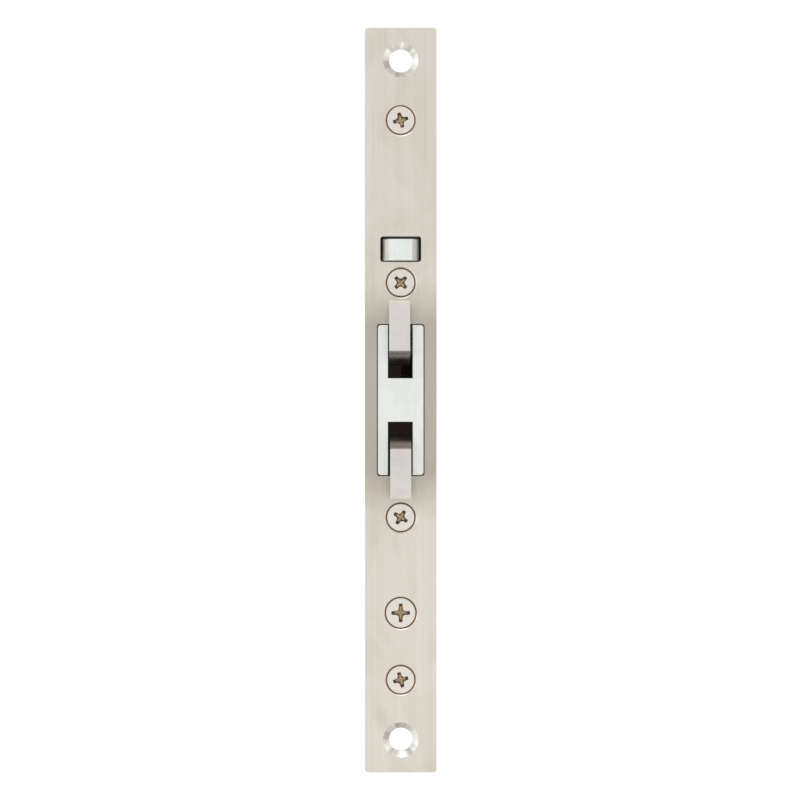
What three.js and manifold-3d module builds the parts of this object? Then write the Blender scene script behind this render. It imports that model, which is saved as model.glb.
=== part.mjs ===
// Mortice hook lock for a sliding door: faceplate, case, two opposed hook bolts and their rack drive.
// Millimetres. X runs across the faceplate, Y into the door from the faceplate's front, Z up.

import * as THREE from 'three';
import { mergeVertices } from 'three/addons/utils/BufferGeometryUtils.js';
import Module from 'manifold-3d';

const wasm = await Module();
wasm.setup();

// Driving dimensions
const GAP = 0.3; // between pieces that would touch
const PAST = 1; // how far a cutter runs past a face, and a boss into the wall behind it
const ROUND = 20; // sides of a round piece or hole

const PLATE = { width: 20, height: 208, thickness: 3, corner: 0.9 };
const FIXING = { z: 95, bore: 3.25, sink: 4.9, edge: 0.05 };
const CASE_SCREW_Z = [78.2, 32.8, -32.8, -78.2];
const CASE_SCREW_TURN = [15, 45, 58, 15]; // degrees, how each cross recess stopped
const CASE_SCREW = { head: 3.85, shank: 2, length: 11.5, recess: 4.3 };
const CYLINDER_SCREW = { z: -59.5, head: 4.15, shank: 2.5, length: 19, recess: 5.2 };
const SHANK_CLEARANCE = 0.4;
const SHANK_POINT = { length: 1, step: 0.7 };
const SCREW_FACE = 0.05; // a screw's face lies this far below the faceplate's
const HEAD_EDGE = 0.35; // where a countersunk head's cone begins
const RECESS = { depth: 1.5, half: 0.45 };

const SLOT = { width: 13.4, height: 42.5, corner: 0.9 };
const GUIDE = { width: 12.66, height: 41.9, corner: 0.8, channel: 6.9 };
const GUIDE_BACK = { width: 11.9, corner: 0.3, front: 3.1, back: 6.2 }; // the part behind the faceplate
const GUIDE_ARM_SPACE = 9; // open below the pivot, for the hook's arm
const GUIDE_FLANGE = { height: 43.2, front: 3.4, back: 4.8 };

const WINDOW = { width: 11.4, height: 7.1, z: 42.15, corner: 0.7 };
const TRIGGER = { width: 10.1, height: 5.9, z: 41.85, nose: 6.4, proud: 3, bevelEnd: 0.4, tail: 9 };
const TRIGGER_SHOULDER = { front: 3.4, back: 5.4, rise: 1.1 };
const TRIGGER_FOOT = { back: 12.6, half: 1.5 };
const SPRING = { x: -1.2, radius: 2, wire: 0.3, from: 9.4, to: 21.4, turns: 6, stepsPerTurn: 10 };

const CASE = { left: -7.5, right: 7.5, wall: 1.2, front: 3.3, back: 41, lugBack: 14 };
const PIN_X = [CASE.left + 0.1, CASE.right - 0.1]; // a pin's two ends, just inside the case's sides
const CASE_Z = { top: 83.5, step: 60, lowStep: -74, bottom: -83.5 };
const CASE_CHAMFER = 2;
const FRONT_WALL = 1.5;
const CASE_SLOT_Z = 29.4; // half the front wall's opening for the hooks
const THROUGH = [-9, 9]; // along X, right through the case

const PIVOT = { y: 7, z: 25.5, hub: 3.6, bore: 2.3, pin: 2 };
const HOOK = { half: 2.9, front: -9.3, top: 27.4, low: 13.3, throat: 11.7, topEdge: 0.4 };
const HOOK_LOW_EDGE = [0.5, 0.3];
const HOOK_ARM = { above: [1.6, 3.2], below: [2.6, 2.4], notch: [-1.1, 17.1] }; // two offsets and a point
const HOOK_THROAT_ARC = [226, 177]; // degrees
const HOOK_BEAK = { bend: -5, start: -6.3 }; // along the top edge, in Y
const HOOK_UNDERSIDE = { bend: [-5, 11], end: [0, 10.3], heel: [5, 9.8] };
const UPPER_HOOK_X = -0.3; // its end play, taken up to one side
const SWEEP = Math.hypot(PIVOT.y - HOOK.front, PIVOT.z - HOOK.low);

const MODULE = 1;
const PRESSURE = THREE.MathUtils.degToRad(25);
const ADDENDUM = 0.7 * MODULE;
const DEDENDUM = 0.95 * MODULE;
const BACKLASH = 0.4;
const GEAR_X = [3.2, 5.2]; // the plane that every rack and gear runs in
const TOOTH_ROOT = 0.4; // how far a tooth runs into its wheel or bar
const SECTOR_PITCH = 6;
const SECTOR_ARC = [15, -75]; // degrees
const SECTOR_TEETH = [0, -30, -60];
const PINION = { y: 21, z: 0, pitch: 4, bore: 1.8, axle: 1.5, left: -1 };
const FRONT_PITCH = PIVOT.y + SECTOR_PITCH; // where the hooks' sectors meet the bars
const UPPER_PITCH = PINION.y - PINION.pitch;
const DRIVE_PITCH = PINION.y + PINION.pitch;
const TRAVEL = 7.54;

const STUD = { radius: 1.25, slot: 1.55 };
const RACK_STUDS = [[17.3, 15.2], [17.3, 23.4]];
const DRIVE_STUDS = [[17.3, -27], [28.9, -7]];

const CYLINDER = { y: 25, z: -45, round: 8.5, lobe: 5, lobeEnd: -69.5 };
const NOTCH = { z: -41.2, half: 3, lip: 2, left: -4, front: 10.5, floor: 12.5, back: 16 };

const DRIVE_BAR = { back: 31.5, top: 10.4, rackEnd: -12, hookRackEnd: -28.4, bottom: -50, low: -17.5 };
const DRIVE_BAR_FRONT = [[12.8, -30], [12.8, -50]];
const DRIVE_BAR_ELBOW = [[16, -34], [20, -30.5], [20, -17.5]];
const UPPER_BAR = { top: 28.2, back: 20.6, front: 12, bottom: -9, hookRackEnd: 14, knee: 12.5, rackEnd: 5.6 };

const LEVER = { y: 15.5, z: 53, hub: 3, bore: 1.6, pin: 1.3, half: 2.4 };
const LEVER_FRONT = [[13.8, 44.5], [13, 41.6], [13, 40.6]];
const LEVER_FOOT = [[14.4, 37], [18, 37], [18, 39]];
const COVER_SCREWS = [[36, 52], [36, 31], [36, -24], [36, -68], [9.2, 66], [9.2, -70.5]];
const COVER_SCREW = { head: 2.7, shank: 1.5, post: 3, length: 8, slot: 0.35, slotDepth: 0.7 };
const THREAD_FROM = -3; // where a cover screw's hole starts in its post
const DETENT = { y: 34.1, z: 16, thickness: 0.6, x: [0.2, 5.2], noseY: 32, lift: 0.4 };
const REST = 1; // radius of the drive bar's two rests for the leaf's nose
const DETENT_RISE = { top: 8, bend: -3, nose: -8, end: -13 }; // along Z, off the leaf's middle
const RIVET = { x: 2.7, z: 21, shank: 1, head: 1.7, tall: 0.8, round: 0.4, end: 39 };

// Bosses and pads inside the case, each up from its floor
const SCREW_BOSS = { top: 2.9, back: 12.4, half: 3 };
const CYLINDER_SCREW_BOSS = { top: 4.4, back: 9.5, half: 3.8 };
const HOOK_PAD = { radius: 3.4, top: -3.6 };
const AXLE_PAD = { radius: 3, top: -1.3 };
const LEVER_PAD = { radius: 3, top: 2.9 };
const SPRING_SEAT = { top: 2.9, thickness: 1.4, half: 3 };
const DETENT_BLOCK = { top: 5.4, front: 35, back: 40.5, half: 3 };

// Solids: a closed geometry becomes a manifold for cutting, and a manifold becomes a mesh.
function solid(geometry) {
  const bare = geometry.index ? geometry.clone() : mergeVertices(geometry);
  bare.deleteAttribute('normal');
  bare.deleteAttribute('uv');
  const merged = mergeVertices(bare, 1e-5);
  const corners = [];
  for (let i = 0; i < merged.index.count; i += 3) {
    const [a, b, c] = [0, 1, 2].map((k) => merged.index.getX(i + k));
    if (a !== b && b !== c && c !== a) corners.push(a, b, c);
  }
  return new wasm.Manifold(new wasm.Mesh({
    numProp: 3,
    vertProperties: new Float32Array(merged.attributes.position.array),
    triVerts: new Uint32Array(corners),
  }));
}

function meshOf(name, body, material) {
  const cut = body.getMesh();
  const geometry = new THREE.BufferGeometry();
  geometry.setAttribute('position', new THREE.BufferAttribute(new Float32Array(cut.vertProperties), 3));
  geometry.setIndex(new THREE.BufferAttribute(new Uint32Array(cut.triVerts), 1));
  geometry.computeVertexNormals();
  const mesh = new THREE.Mesh(geometry, material);
  mesh.name = name;
  return mesh;
}

const joined = (first, ...rest) => rest.reduce((all, next) => all.add(next), first);
const without = (first, ...rest) => rest.reduce((all, next) => all.subtract(next), first);

function box(x, y, z) {
  const geometry = new THREE.BoxGeometry(x[1] - x[0], y[1] - y[0], z[1] - z[0]);
  geometry.translate((x[0] + x[1]) / 2, (y[0] + y[1]) / 2, (z[0] + z[1]) / 2);
  return solid(geometry);
}

// A profile drawn in (Y, Z) and extruded along X.
function plateYZ(shape, x, curveSegments = 8) {
  const options = { depth: x[1] - x[0], bevelEnabled: false, curveSegments };
  const geometry = new THREE.ExtrudeGeometry(shape, options);
  const axes = new THREE.Matrix4().makeBasis(
    new THREE.Vector3(0, 1, 0),
    new THREE.Vector3(0, 0, 1),
    new THREE.Vector3(1, 0, 0),
  );
  geometry.applyMatrix4(axes);
  geometry.translate(x[0], 0, 0);
  return solid(geometry);
}

// A profile drawn in (X, Z) and extruded along Y.
function plateXZ(shape, y, curveSegments = 4) {
  const options = { depth: y[1] - y[0], bevelEnabled: false, curveSegments };
  const geometry = new THREE.ExtrudeGeometry(shape, options);
  geometry.rotateX(Math.PI / 2);
  geometry.translate(0, y[1], 0);
  return solid(geometry);
}

// A turned piece: profile points are [radius, distance along the axis], starting and ending on it.
function turned(profile, sides = ROUND) {
  const points = profile.map(([radius, along]) => new THREE.Vector2(radius, along));
  return new THREE.LatheGeometry(points, sides);
}

const turnedAlongY = (profile, x, z) => solid(turned(profile).translate(x, 0, z));
const turnedAlongX = (profile, y, z) => solid(turned(profile).rotateZ(-Math.PI / 2).translate(0, y, z));

function rodX(radius, x, y, z) {
  return turnedAlongX([[0, x[0]], [radius, x[0]], [radius, x[1]], [0, x[1]]], y, z);
}

function rodY(radius, y, x, z) {
  return turnedAlongY([[0, y[0]], [radius, y[0]], [radius, y[1]], [0, y[1]]], x, z);
}

const polygon = (points) => new THREE.Shape(points.map(([u, v]) => new THREE.Vector2(u, v)));

function roundedRectangle(width, height, corner, centreZ = 0) {
  const [w, h] = [width / 2, height / 2];
  const shape = new THREE.Shape();
  const corners = [[w, -h, -0.5], [w, h, 0], [-w, h, 0.5], [-w, -h, 1]];
  for (const [x, z, turn] of corners) {
    const centreX = x - Math.sign(x) * corner;
    const middleZ = z - Math.sign(z) * corner + centreZ;
    shape.absarc(centreX, middleZ, corner, turn * Math.PI, (turn + 0.5) * Math.PI, false);
  }
  shape.closePath();
  return shape;
}

// A slot with round ends, running along Z through the gear plane.
function slotX(y, fromZ, toZ) {
  const shape = new THREE.Shape();
  shape.absarc(y, toZ, STUD.slot, 0, Math.PI, false);
  shape.absarc(y, fromZ, STUD.slot, Math.PI, 2 * Math.PI, false);
  shape.closePath();
  return plateYZ(shape, [GEAR_X[0] - PAST, GEAR_X[1] + PAST], 8);
}

const mirrored = (body) => body.mirror([0, 0, 1]);

// Gears and racks
const rollAngle = (base, radius) => {
  const t = Math.sqrt(Math.max((radius / base) ** 2 - 1, 0));
  return t - Math.atan(t);
};

// One involute tooth that points along +Y at angle 0, as points [y, z] about the gear's centre.
function tooth(pitch, angle) {
  const base = pitch * Math.cos(PRESSURE);
  const root = pitch - DEDENDUM - TOOTH_ROOT;
  const thickness = (Math.PI * MODULE) / 2 - BACKLASH / 2;
  const half = (radius) => thickness / (2 * pitch) + rollAngle(base, pitch) - rollAngle(base, radius);
  const steps = [0, 0.25, 0.5, 0.75, 1];
  const radii = [root, ...steps.map((t) => base + t * (pitch + ADDENDUM - base))];
  const side = radii.map((r) => [r, half(Math.max(r, base))]);
  const around = [...side.map(([r, a]) => [r, -a]), ...side.reverse()];
  return around.map(([r, a]) => [r * Math.cos(angle + a), r * Math.sin(angle + a)]);
}

function toothAt(centreY, centreZ, pitch, angle, x) {
  const points = tooth(pitch, angle).map(([y, z]) => [centreY + y, centreZ + z]);
  return plateYZ(polygon(points), x);
}

// One rack tooth on the line Y = pitch, pointing towards +Y or -Y.
function rackTooth(pitch, z, side) {
  const half = ((Math.PI * MODULE) / 2 - BACKLASH / 2) / 2;
  const slope = Math.tan(PRESSURE);
  const [tip, root] = [half - ADDENDUM * slope, half + DEDENDUM * slope];
  const inside = pitch - side * (DEDENDUM + TOOTH_ROOT);
  const points = [
    [inside, z - root], [pitch - side * DEDENDUM, z - root], [pitch + side * ADDENDUM, z - tip],
    [pitch + side * ADDENDUM, z + tip], [pitch - side * DEDENDUM, z + root], [inside, z + root],
  ];
  return plateYZ(polygon(side > 0 ? points : points.reverse()), GEAR_X);
}

// Teeth either side of the spaces that the gear comes to, the first space lying at z.
function rackTeeth(pitch, z, side, direction) {
  const places = [-0.5, 0.5, 1.5, 2.5];
  return places.map((n) => rackTooth(pitch, z + direction * n * Math.PI * MODULE, side));
}

// Countersunk cross-recess screw along +Y, its face at Y = 0 and its axis at x = 0.
function faceScrew(z, { head, shank, length, recess }, turn) {
  const neck = head - shank;
  const profile = [
    [0, SCREW_FACE], [head, SCREW_FACE], [head, HEAD_EDGE], [shank, HEAD_EDGE + neck],
    [shank, length - SHANK_POINT.length], [shank - SHANK_POINT.step, length], [0, length],
  ];
  const body = turnedAlongY(profile, 0, 0);
  const arms = [0, 90].map((degrees) => {
    const arm = box([-recess / 2, recess / 2], [-PAST, RECESS.depth], [-RECESS.half, RECESS.half]);
    return arm.rotate([0, degrees - turn, 0]);
  });
  return without(body, ...arms).translate([0, 0, z]);
}

function facePocket(z, bore, sink, straight = HEAD_EDGE) {
  const [front, back] = [-PAST, PLATE.thickness + PAST];
  const cone = [[sink, straight], [bore, straight + sink - bore]];
  return turnedAlongY([[0, front], [sink, front], ...cone, [bore, back], [0, back]], 0, z);
}

// Pieces
function faceplate() {
  let plate = plateXZ(roundedRectangle(PLATE.width, PLATE.height, PLATE.corner), [0, PLATE.thickness]);
  for (const side of [1, -1]) {
    plate = plate.subtract(facePocket(side * FIXING.z, FIXING.bore, FIXING.sink, FIXING.edge));
  }
  for (const z of CASE_SCREW_Z) {
    plate = plate.subtract(facePocket(z, CASE_SCREW.shank + SHANK_CLEARANCE, CASE_SCREW.head + GAP));
  }
  const { z: screwZ, shank, head } = CYLINDER_SCREW;
  plate = plate.subtract(facePocket(screwZ, shank + SHANK_CLEARANCE, head + GAP));
  const through = [-PAST, PLATE.thickness + PAST];
  const slot = roundedRectangle(SLOT.width, SLOT.height, SLOT.corner);
  const opening = roundedRectangle(WINDOW.width, WINDOW.height, WINDOW.corner, WINDOW.z);
  return without(plate, plateXZ(slot, through), plateXZ(opening, through));
}

function hookGuide() {
  const { width, corner, front, back } = GUIDE_BACK;
  const face = plateXZ(roundedRectangle(GUIDE.width, GUIDE.height, GUIDE.corner), [0, front + 0.1]);
  const block = plateXZ(roundedRectangle(width, GUIDE.height, corner), [front, back]);
  const flange = plateXZ(
    roundedRectangle(width, GUIDE_FLANGE.height, corner),
    [GUIDE_FLANGE.front, GUIDE_FLANGE.back],
  );
  const half = GUIDE.channel / 2;
  const relief = rodX(SWEEP + GAP, [-half, half], PIVOT.y, PIVOT.z);
  const through = [-PAST, back + PAST];
  const deep = box([-half, half], through, [0, GUIDE_FLANGE.height]);
  const arm = box([-half, half], through, [PIVOT.z - GUIDE_ARM_SPACE, PIVOT.z]);
  const channel = relief.intersect(deep).add(arm);
  return without(joined(face, block, flange), channel, mirrored(channel));
}

// The hook's blade: arm, throat, beak, curved underside and heel.
function hookBlade() {
  const { above, below, notch } = HOOK_ARM;
  const { bend, end, heel } = HOOK_UNDERSIDE;
  const [lowY, lowZ] = HOOK_LOW_EDGE;
  const shape = new THREE.Shape();
  shape.moveTo(PIVOT.y - above[0], PIVOT.z - above[1]);
  shape.lineTo(...notch);
  const [first, last] = HOOK_THROAT_ARC.map(THREE.MathUtils.degToRad);
  shape.absarc(PIVOT.y, PIVOT.z, HOOK.throat, first, last, true);
  shape.quadraticCurveTo(HOOK_BEAK.bend, HOOK.top, HOOK_BEAK.start, HOOK.top);
  shape.lineTo(HOOK.front + HOOK.topEdge, HOOK.top);
  shape.lineTo(HOOK.front, HOOK.top - HOOK.topEdge);
  shape.lineTo(HOOK.front, HOOK.low + lowZ);
  shape.lineTo(HOOK.front + lowY, HOOK.low - lowZ);
  shape.quadraticCurveTo(...bend, ...end);
  shape.lineTo(...heel);
  shape.lineTo(PIVOT.y + below[0], PIVOT.z - below[1]);
  return plateYZ(shape, [-HOOK.half, HOOK.half], 10);
}

// A hook: the blade at bladeX, and its gear sector in the gear plane, on one hub.
function hook(bladeX) {
  const hub = rodX(PIVOT.hub, [bladeX - HOOK.half, GEAR_X[1]], PIVOT.y, PIVOT.z);
  const web = new THREE.Shape();
  web.moveTo(PIVOT.y, PIVOT.z);
  const [first, last] = SECTOR_ARC.map(THREE.MathUtils.degToRad);
  web.absarc(PIVOT.y, PIVOT.z, SECTOR_PITCH - DEDENDUM, first, last, true);
  const teeth = SECTOR_TEETH.map((degrees) => {
    return toothAt(PIVOT.y, PIVOT.z, SECTOR_PITCH, THREE.MathUtils.degToRad(degrees), GEAR_X);
  });
  const blade = hookBlade().translate([bladeX, 0, 0]);
  const whole = joined(blade, hub, plateYZ(web, GEAR_X, 10), ...teeth);
  return whole.subtract(rodX(PIVOT.bore, THROUGH, PIVOT.y, PIVOT.z));
}

function upperRackBar() {
  const [hookRackY, rackY] = [FRONT_PITCH + DEDENDUM, UPPER_PITCH - DEDENDUM];
  const { top, back, hookRackEnd, front, knee, bottom, rackEnd } = UPPER_BAR;
  const outline = [
    [hookRackY, top], [hookRackY, hookRackEnd], [front, knee], [front, bottom],
    [rackY, bottom], [rackY, rackEnd], [back, rackEnd], [back, top],
  ];
  const bar = plateYZ(polygon(outline), GEAR_X);
  const teeth = [
    ...rackTeeth(FRONT_PITCH, PIVOT.z, -1, -1),
    ...rackTeeth(UPPER_PITCH, PINION.z, 1, -1),
  ];
  const [low, high] = [RACK_STUDS[0][1], RACK_STUDS[1][1]];
  return without(joined(bar, ...teeth), slotX(RACK_STUDS[0][0], low - TRAVEL, high));
}

function driveBar() {
  const [rackY, hookRackY] = [DRIVE_PITCH + DEDENDUM, FRONT_PITCH + DEDENDUM];
  const outline = [
    [DRIVE_BAR.back, DRIVE_BAR.top], [rackY, DRIVE_BAR.top], [rackY, DRIVE_BAR.rackEnd],
    [hookRackY, DRIVE_BAR.rackEnd], [hookRackY, DRIVE_BAR.hookRackEnd], ...DRIVE_BAR_FRONT,
    [NOTCH.back, DRIVE_BAR.bottom], ...DRIVE_BAR_ELBOW, [DRIVE_BAR.back, DRIVE_BAR.low],
  ];
  const bar = plateYZ(polygon(outline), GEAR_X);
  const teeth = [
    ...rackTeeth(FRONT_PITCH, -PIVOT.z, -1, 1),
    ...rackTeeth(DRIVE_PITCH, PINION.z, -1, 1),
  ];
  const reach = NOTCH.half + NOTCH.lip;
  const block = box([NOTCH.left, GEAR_X[1]], [NOTCH.front, NOTCH.back], [NOTCH.z - reach, NOTCH.z + reach]);
  const cut = box(
    [NOTCH.left - PAST, GEAR_X[0]],
    [NOTCH.floor, NOTCH.back + PAST],
    [NOTCH.z - NOTCH.half, NOTCH.z + NOTCH.half],
  );
  const slots = DRIVE_STUDS.map(([y, z]) => slotX(y, z, z + TRAVEL));
  const restZ = DETENT.z + DETENT_RISE.nose;
  const rests = [restZ, restZ - TRAVEL].map((z) => rodX(REST, THROUGH, DETENT.noseY, z));
  return without(joined(bar, ...teeth, block), cut, ...slots, ...rests);
}

function reversingPinion() {
  const core = rodX(PINION.pitch - DEDENDUM, [PINION.left, GEAR_X[1]], PINION.y, PINION.z);
  const count = (2 * PINION.pitch) / MODULE;
  const teeth = Array.from({ length: count }, (_, n) => {
    return toothAt(PINION.y, PINION.z, PINION.pitch, (n * 2 * Math.PI) / count, GEAR_X);
  });
  return joined(core, ...teeth).subtract(rodX(PINION.bore, THROUGH, PINION.y, PINION.z));
}

function trigger() {
  const [w, n] = [TRIGGER.width / 2, TRIGGER.nose / 2];
  const [low, high] = [TRIGGER.z - TRIGGER.height / 2, TRIGGER.z + TRIGGER.height / 2];
  const bevelled = polygon([
    [-n, -TRIGGER.proud], [n, -TRIGGER.proud], [w, TRIGGER.bevelEnd],
    [w, TRIGGER.tail], [-w, TRIGGER.tail], [-w, TRIGGER.bevelEnd],
  ]);
  const options = { depth: high - low, bevelEnabled: false };
  const nose = solid(new THREE.ExtrudeGeometry(bevelled, options).translate(0, 0, low));
  const { front, back, rise } = TRIGGER_SHOULDER;
  const shoulder = box([-w, w], [front, back], [low - rise, high + rise]);
  const [footLow, footHigh] = [TRIGGER.z - TRIGGER_FOOT.half, TRIGGER.z + TRIGGER_FOOT.half];
  const foot = box([GEAR_X[0], w], [TRIGGER.tail - PAST, TRIGGER_FOOT.back], [footLow, footHigh]);
  return joined(nose, shoulder, foot);
}

// A coil spring along Y, its wire a six-sided tube.
function triggerSpring() {
  const pitch = (SPRING.to - SPRING.from) / SPRING.turns;
  const points = [];
  for (let n = 0; n <= SPRING.turns * SPRING.stepsPerTurn; n += 1) {
    const turns = n / SPRING.stepsPerTurn;
    const turn = turns * 2 * Math.PI;
    const along = SPRING.from + turns * pitch;
    const across = SPRING.x + SPRING.radius * Math.cos(turn);
    points.push(new THREE.Vector3(across, along, TRIGGER.z + SPRING.radius * Math.sin(turn)));
  }
  const wire = new THREE.Shape();
  wire.absarc(0, 0, SPRING.wire, 0, 2 * Math.PI, false);
  const path = new THREE.CatmullRomCurve3(points);
  const steps = SPRING.turns * SPRING.stepsPerTurn;
  const options = { steps, curveSegments: 3, extrudePath: path, bevelEnabled: false };
  return solid(new THREE.ExtrudeGeometry(wire, options));
}

// The lever hangs from its pin behind the trigger's foot, its own foot over the upper rack bar's end.
function interlockLever() {
  const arm = polygon([
    [LEVER.y - LEVER.half, LEVER.z], ...LEVER_FRONT, ...LEVER_FOOT, [LEVER.y + LEVER.half, LEVER.z],
  ]);
  const hub = rodX(LEVER.hub, GEAR_X, LEVER.y, LEVER.z);
  return plateYZ(arm, GEAR_X).add(hub).subtract(rodX(LEVER.bore, THROUGH, LEVER.y, LEVER.z));
}

function caseOutline(inset) {
  const [back, lug] = [CASE.back - inset, CASE.lugBack - inset];
  const front = CASE.front + (inset ? FRONT_WALL : 0);
  const [top, step] = [CASE_Z.top - inset, CASE_Z.step - inset];
  const [bottom, lowStep] = [CASE_Z.bottom + inset, CASE_Z.lowStep + inset];
  return polygon([
    [front, bottom], [lug, bottom], [lug, lowStep - CASE_CHAMFER], [lug + CASE_CHAMFER, lowStep],
    [back - CASE_CHAMFER, lowStep], [back, lowStep + CASE_CHAMFER], [back, step - CASE_CHAMFER],
    [back - CASE_CHAMFER, step], [lug + CASE_CHAMFER, step], [lug, step + CASE_CHAMFER],
    [lug, top], [front, top],
  ]);
}

// The cylinder's opening through the case: a round with a straight lobe below it.
function cylinderOpening() {
  const round = rodX(CYLINDER.round, THROUGH, CYLINDER.y, CYLINDER.z);
  const [low, high] = [CYLINDER.lobeEnd + CYLINDER.lobe, CYLINDER.z];
  const lobe = box(THROUGH, [CYLINDER.y - CYLINDER.lobe, CYLINDER.y + CYLINDER.lobe], [low, high]);
  return joined(round, lobe, rodX(CYLINDER.lobe, THROUGH, CYLINDER.y, low));
}

// The drilled holes that every pivot pin passes, from one side of the case to the other.
function pivotHoles(x) {
  return [
    rodX(PIVOT.bore, x, PIVOT.y, PIVOT.z), rodX(PIVOT.bore, x, PIVOT.y, -PIVOT.z),
    rodX(PINION.bore, x, PINION.y, PINION.z), rodX(LEVER.bore, x, LEVER.y, LEVER.z),
  ];
}

function caseBosses(floor, rim) {
  const from = floor - CASE.wall / 2;
  const bossFront = CASE.front + FRONT_WALL - PAST;
  const around = (z, half) => [z - half, z + half];
  const screwBosses = CASE_SCREW_Z.map((z) => {
    return box([from, SCREW_BOSS.top], [bossFront, SCREW_BOSS.back], around(z, SCREW_BOSS.half));
  });
  const { top, back, half } = CYLINDER_SCREW_BOSS;
  const seat = SPRING.to + 2 * GAP;
  const [blockFront, blockBack] = [DETENT_BLOCK.front, DETENT_BLOCK.back];
  return [
    ...screwBosses,
    box([from, top], [bossFront, back], around(CYLINDER_SCREW.z, half)),
    rodX(HOOK_PAD.radius, [from, HOOK_PAD.top], PIVOT.y, PIVOT.z),
    rodX(HOOK_PAD.radius, [from, HOOK_PAD.top], PIVOT.y, -PIVOT.z),
    rodX(AXLE_PAD.radius, [from, AXLE_PAD.top], PINION.y, PINION.z),
    rodX(LEVER_PAD.radius, [from, LEVER_PAD.top], LEVER.y, LEVER.z),
    box([from, SPRING_SEAT.top], [seat, seat + SPRING_SEAT.thickness], around(TRIGGER.z, SPRING_SEAT.half)),
    box([from, DETENT_BLOCK.top], [blockFront, blockBack], around(RIVET.z, DETENT_BLOCK.half)),
    ...COVER_SCREWS.map(([y, z]) => rodX(COVER_SCREW.post, [from, rim], y, z)),
  ];
}

function caseBody() {
  const floor = CASE.left + CASE.wall;
  const rim = CASE.right - CASE.wall - GAP;
  const hollow = plateYZ(caseOutline(CASE.wall), [floor, THROUGH[1]]);
  const past = [0, CASE.front + FRONT_WALL + 0.1];
  const half = WINDOW.height / 2 + CASE.wall;
  const tray = without(
    plateYZ(caseOutline(0), [CASE.left, rim]),
    hollow,
    box([floor, THROUGH[1]], past, [-CASE_SLOT_Z, CASE_SLOT_Z]),
    box([floor, THROUGH[1]], past, [WINDOW.z - half, WINDOW.z + half]),
  );
  const shell = joined(tray, ...caseBosses(floor, rim));
  const screwReach = [0, SCREW_BOSS.back + PAST];
  const screwHoles = CASE_SCREW_Z.map((z) => rodY(CASE_SCREW.shank + SHANK_CLEARANCE, screwReach, 0, z));
  const tail = rodY(CYLINDER_SCREW.shank + SHANK_CLEARANCE, screwReach, 0, CYLINDER_SCREW.z);
  const threads = COVER_SCREWS.map(([y, z]) => {
    return rodX(COVER_SCREW.shank + GAP, [THREAD_FROM, THROUGH[1]], y, z);
  });
  const rivetHole = [DETENT_BLOCK.front - PAST, RIVET.end + 2 * GAP];
  const rivet = rodY(RIVET.shank + GAP, rivetHole, RIVET.x, RIVET.z);
  const pins = pivotHoles([THROUGH[0], LEVER_PAD.top + GAP]);
  return without(shell, ...pins, ...screwHoles, ...threads, tail, rivet, cylinderOpening());
}

function caseCover() {
  const sheet = [CASE.right - CASE.wall, CASE.right];
  const sunk = COVER_SCREWS.map(([y, z]) => {
    const outer = CASE.right + PAST;
    const [wide, bore] = [COVER_SCREW.head + GAP, COVER_SCREW.shank + GAP];
    const sinkStart = CASE.right - (wide - bore);
    const profile = [[0, 0], [bore, 0], [bore, sinkStart], [wide, CASE.right], [wide, outer], [0, outer]];
    return turnedAlongX(profile, y, z);
  });
  const through = [sheet[0] - PAST, sheet[1] + PAST];
  const studs = [...RACK_STUDS, ...DRIVE_STUDS].map(([y, z]) => rodX(STUD.slot, through, y, z));
  const cover = plateYZ(caseOutline(0), sheet);
  return without(cover, ...sunk, ...studs, ...pivotHoles(through), cylinderOpening());
}

function coverScrew([y, z]) {
  const [head, shank] = [COVER_SCREW.head, COVER_SCREW.shank];
  const top = CASE.right - SCREW_FACE;
  const end = top - COVER_SCREW.length;
  const profile = [[0, end], [shank, end], [shank, top - (head - shank)], [head, top], [0, top]];
  const { slot: half, slotDepth } = COVER_SCREW;
  const slot = box([top - slotDepth, top + PAST], [y - head - PAST, y + head + PAST], [z - half, z + half]);
  return turnedAlongX(profile, y, z).subtract(slot);
}

// A leaf with its nose just off the drive bar's edge, riveted to the case at its upper end.
function detentSpring() {
  const { y, z, thickness, noseY, lift } = DETENT;
  const { top, bend, nose, end } = DETENT_RISE;
  const front = [[y, z + top], [y, z + bend], [noseY, z + nose], [y + lift, z + end]];
  const back = front.map(([a, b]) => [a + thickness, b]).reverse();
  const leaf = plateYZ(polygon([...front, ...back]), DETENT.x);
  return leaf.subtract(rodY(RIVET.shank + GAP, [y - PAST, y + thickness + PAST], RIVET.x, RIVET.z));
}

function detentRivet() {
  const { shank, head, tall, round, end } = RIVET;
  const face = DETENT.y - GAP;
  const profile = [
    [0, face - tall], [head - round, face - tall], [head, face - round], [head, face], [shank, face],
    [shank, end], [0, end],
  ];
  return turnedAlongY(profile, RIVET.x, RIVET.z);
}

const finish = (color, roughness, metalness) => {
  return new THREE.MeshStandardMaterial({ color, roughness, metalness });
};
const brushed = finish(0xd7d0c7, 0.38, 0.9);
const zinc = finish(0xe4e6e3, 0.35, 0.85);
const hookSteel = finish(0xcfcac2, 0.4, 0.9);
const screwSteel = finish(0xd7d2ca, 0.3, 0.95);
const caseSteel = finish(0xb9bbb8, 0.5, 0.8);
const barSteel = finish(0xa9a9a4, 0.45, 0.9);
const springSteel = finish(0x8d8f90, 0.3, 0.95);

const lock = new THREE.Group();
const put = (name, body, material) => lock.add(meshOf(name, body, material));

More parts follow.
